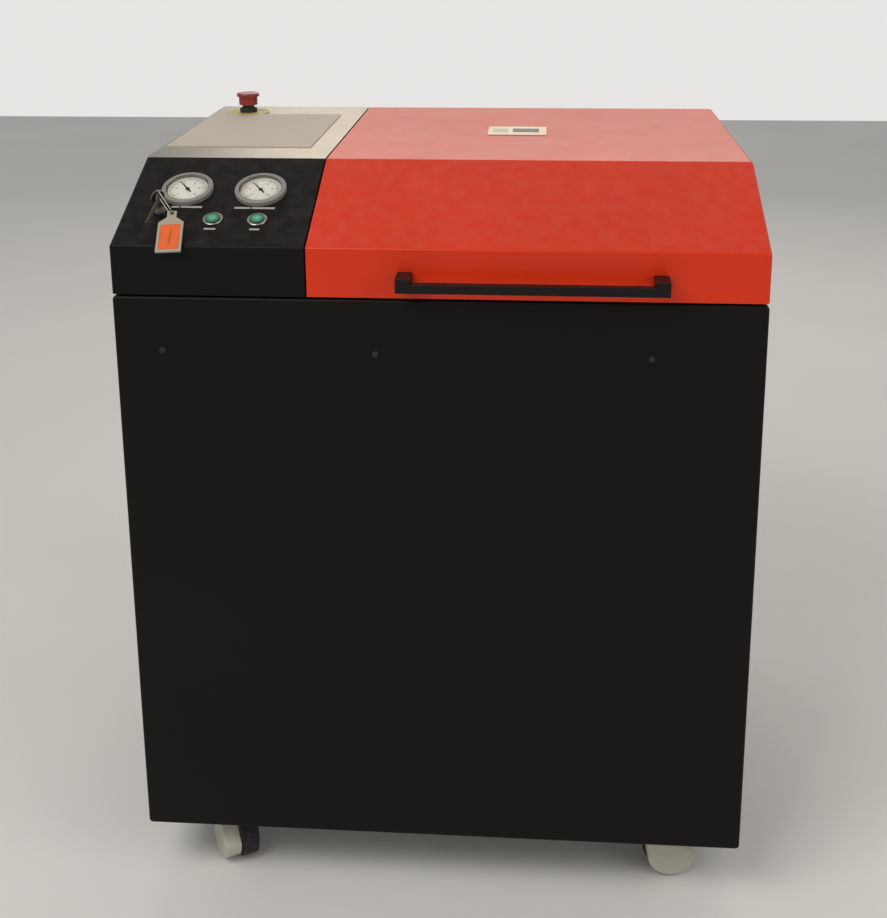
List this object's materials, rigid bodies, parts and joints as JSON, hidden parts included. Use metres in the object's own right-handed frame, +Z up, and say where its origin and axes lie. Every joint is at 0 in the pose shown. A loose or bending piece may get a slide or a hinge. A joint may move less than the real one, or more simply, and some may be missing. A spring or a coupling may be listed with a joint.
{
  "type": "flexographic platesetter",
  "caption": "Floor cabinet on casters with a sloping control console and a hinged loading lid over an imaging drum and laser carriage, for exposing flexible printing plates.",
  "frame": {"origin": "centre of the overall footprint, on the floor the casters stand on", "axes": "+X to the right seen from the front, +Y to the back, +Z up"},
  "size_m": [0.9, 0.773, 1.141],
  "materials": {
    "plated_steel": "zinc plated",
    "frame_steel": "grey painted tube",
    "black_paint": "fine textured black powder coat",
    "port_black": "black",
    "socket_black": "black",
    "brushed_plate": "brushed stainless, lengthwise grain",
    "mat_grey": "matt grey sheet",
    "machined": "turned and milled",
    "motor_black": "semi-gloss black",
    "belt_rubber": "matt",
    "ground_steel": "ground",
    "gauge_grey": "smooth grey",
    "dial_white": "printed dial",
    "clear": "clear",
    "bezel_chrome": "polished",
    "lock_metal": "satin",
    "stop_yellow": "yellow legend plate",
    "stop_black": "black",
    "pump_grey": "painted casting",
    "box_grey": "light grey",
    "red_paint": "satin orange-red powder coat",
    "handle_black": "satin black",
    "pale_plate": "satin",
    "needle_black": "matt black",
    "button_green": "glossy green",
    "stop_red": "red",
    "carriage_grey": "anodised",
    "laser_black": "black anodised",
    "key_metal": "nickel",
    "tag_frame": "translucent grey plastic",
    "card_orange": "printed card under film",
    "caster_grey": "pale grey",
    "caster_tyre": "black tread with pale hub",
    "pedal_black": "black"
  },
  "bodies": {
    "chassis": {"base_plate": "plated_steel", "frame": "frame_steel", "front_cover": "black_paint", "left_cover": "black_paint", "right_cover": "black_paint", "rear_cover": "black_paint", "extraction_port": "port_black", "mains_inlet": "socket_black", "cover_screws": "socket_black", "deck": "black_paint", "console_shell": "black_paint", "console_top": "brushed_plate", "work_mat": "mat_grey", "deck_fittings": "plated_steel", "bearing_blocks": "machined", "drum_motor": "motor_black", "drive_belt": "belt_rubber", "rail_beam": "ground_steel", "screw_mounts": "motor_black", "gauge_cases": "gauge_grey", "gauge_dials": "dial_white", "gauge_lenses": "clear", "button_bezels": "bezel_chrome", "key_lock": "lock_metal", "stop_plate": "stop_yellow", "stop_collar": "stop_black", "vacuum_pump": "pump_grey", "control_box": "box_grey", "caster_plates": "plated_steel"},
    "lid": {"lid_shell": "red_paint", "lid_handle": "handle_black", "lid_plate": "pale_plate", "lid_fittings": "plated_steel"},
    "strut_tube": {"strut_tube": "motor_black"},
    "strut_rod": {"strut_rod": "ground_steel"},
    "drum": {"drum": "machined"},
    "motor_pulley": {"motor_pulley": "machined"},
    "lead_screw": {"lead_screw": "ground_steel"},
    "left_needle": {"left_needle": "needle_black"},
    "right_needle": {"right_needle": "needle_black"},
    "left_button": {"left_button": "button_green"},
    "right_button": {"right_button": "button_green"},
    "stop_stem": {"stop_stem": "stop_black"},
    "stop_head": {"stop_head": "stop_red"},
    "carriage": {"laser_carriage": "carriage_grey", "laser_head": "laser_black"},
    "key": {"key": "key_metal", "key_ring": "key_metal"},
    "tag": {"key_tag": "tag_frame", "tag_card": "card_orange"},
    "front_left_fork": {"front_left_fork": "caster_grey"},
    "front_left_wheel": {"front_left_wheel": "caster_tyre"},
    "front_left_pedal": {"front_left_pedal": "pedal_black"},
    "front_right_fork": {"front_right_fork": "caster_grey"},
    "front_right_wheel": {"front_right_wheel": "caster_tyre"},
    "front_right_pedal": {"front_right_pedal": "pedal_black"},
    "rear_left_fork": {"rear_left_fork": "caster_grey"},
    "rear_left_wheel": {"rear_left_wheel": "caster_tyre"},
    "rear_right_fork": {"rear_right_fork": "caster_grey"},
    "rear_right_wheel": {"rear_right_wheel": "caster_tyre"}
  },
  "joints": [
    {"name": "lid_hinge", "type": "hinge", "parent": "chassis", "child": "lid", "pos_m": [0.13675, 0.357, 1.049], "axis": [-1, 0, 0], "range_deg": [0, 60]},
    {"name": "strut_tilt", "type": "hinge", "parent": "chassis", "child": "strut_tube", "pos_m": [0.425, 0.307, 0.963], "axis": [-1, 0, 0], "range_deg": [-0.5, 36.05]},
    {"name": "strut_slide", "type": "slide", "parent": "strut_tube", "child": "strut_rod", "axis": [0, -0.5233, 0.8522], "range_m": [-0.0005, 0.07114]},
    {"name": "drum_spin", "type": "hinge", "parent": "chassis", "child": "drum", "pos_m": [0.105, -0.1135, 1.021], "axis": [1, 0, 0], "continuous": true},
    {"name": "motor_pulley_spin", "type": "hinge", "parent": "chassis", "child": "motor_pulley", "pos_m": [0.352, 0.0295, 0.978], "axis": [1, 0, 0], "continuous": true},
    {"name": "carriage_slide", "type": "slide", "parent": "chassis", "child": "carriage", "axis": [1, 0, 0], "range_m": [0, 0.36]},
    {"name": "screw_spin", "type": "hinge", "parent": "chassis", "child": "lead_screw", "pos_m": [0.105, 0.1335, 0.971], "axis": [1, 0, 0], "range_deg": [0, 12960]},
    {"name": "left_needle_turn", "type": "hinge", "parent": "chassis", "child": "left_needle", "pos_m": [-0.367, -0.22858, 1.07148], "axis": [0, -0.3945, 0.9189], "range_deg": [-173, 97]},
    {"name": "left_button_press", "type": "slide", "parent": "chassis", "child": "left_button", "axis": [0, 0.3945, -0.9189], "range_m": [0, 0.0025], "stiffness_N_per_m": 400, "springref_m": -0.002},
    {"name": "right_needle_turn", "type": "hinge", "parent": "chassis", "child": "right_needle", "pos_m": [-0.26, -0.22858, 1.07148], "axis": [0, -0.3945, 0.9189], "range_deg": [-173, 97]},
    {"name": "right_button_press", "type": "slide", "parent": "chassis", "child": "right_button", "axis": [0, 0.3945, -0.9189], "range_m": [0, 0.0025], "stiffness_N_per_m": 400, "springref_m": -0.002},
    {"name": "key_turn", "type": "hinge", "parent": "chassis", "child": "key", "pos_m": [-0.394, -0.27866, 1.04998], "axis": [0, 0.3945, -0.9189], "range_deg": [0, 45]},
    {"name": "tag_swing", "type": "hinge", "parent": "key", "child": "tag", "pos_m": [-0.36776, -0.31429, 1.05645], "axis": [-0.9963, -0.0785, -0.0337], "range_deg": [0, 30]},
    {"name": "stop_press", "type": "slide", "parent": "chassis", "child": "stop_stem", "axis": [0, 0, -1], "range_m": [0, 0.005], "stiffness_N_per_m": 600, "springref_m": -0.003},
    {"name": "stop_twist", "type": "hinge", "parent": "stop_stem", "child": "stop_head", "pos_m": [-0.388, 0.2795, 1.105], "axis": [0, 0, -1], "range_deg": [0, 45], "stiffness_Nm_per_rad": 0.05, "springref_deg": -5.73},
    {"name": "front_left_swivel", "type": "hinge", "parent": "chassis", "child": "front_left_fork", "pos_m": [-0.33, -0.2585, 0.083], "axis": [0, 0, 1], "continuous": true},
    {"name": "front_left_roll", "type": "hinge", "parent": "front_left_fork", "child": "front_left_wheel", "pos_m": [-0.319, -0.27755, 0.04], "axis": [0.866, 0.5, 0], "continuous": true},
    {"name": "front_left_brake", "type": "hinge", "parent": "front_left_fork", "child": "front_left_pedal", "pos_m": [-0.3375, -0.24551, 0.073], "axis": [-0.866, -0.5, 0], "range_deg": [0, 18]},
    {"name": "front_right_swivel", "type": "hinge", "parent": "chassis", "child": "front_right_fork", "pos_m": [0.33, -0.2585, 0.083], "axis": [0, 0, 1], "continuous": true},
    {"name": "front_right_roll", "type": "hinge", "parent": "front_right_fork", "child": "front_right_wheel", "pos_m": [0.35192, -0.25658, 0.04], "axis": [-0.0872, 0.9962, 0], "continuous": true},
    {"name": "front_right_brake", "type": "hinge", "parent": "front_right_fork", "child": "front_right_pedal", "pos_m": [0.31506, -0.25981, 0.073], "axis": [0.0872, -0.9962, 0], "range_deg": [0, 18]},
    {"name": "rear_left_swivel", "type": "hinge", "parent": "chassis", "child": "rear_left_fork", "pos_m": [-0.33, 0.2615, 0.083], "axis": [0, 0, 1], "continuous": true},
    {"name": "rear_left_roll", "type": "hinge", "parent": "rear_left_fork", "child": "rear_left_wheel", "pos_m": [-0.34905, 0.2725, 0.04], "axis": [-0.5, -0.866, 0], "continuous": true},
    {"name": "rear_right_swivel", "type": "hinge", "parent": "chassis", "child": "rear_right_fork", "pos_m": [0.33, 0.2615, 0.083], "axis": [0, 0, 1], "continuous": true},
    {"name": "rear_right_roll", "type": "hinge", "parent": "rear_right_fork", "child": "rear_right_wheel", "pos_m": [0.35067, 0.26902, 0.04], "axis": [-0.342, 0.9397, 0], "continuous": true}
  ],
  "couplings": [
    {"joint": "strut_tilt", "follows": "lid_hinge", "ratio": 0.59247},
    {"joint": "strut_slide", "follows": "lid_hinge", "m_per_rad": 0.06746},
    {"joint": "motor_pulley_spin", "follows": "drum_spin", "ratio": 2.4},
    {"joint": "screw_spin", "follows": "carriage_slide", "rad_per_m": 628.32}
  ]
}
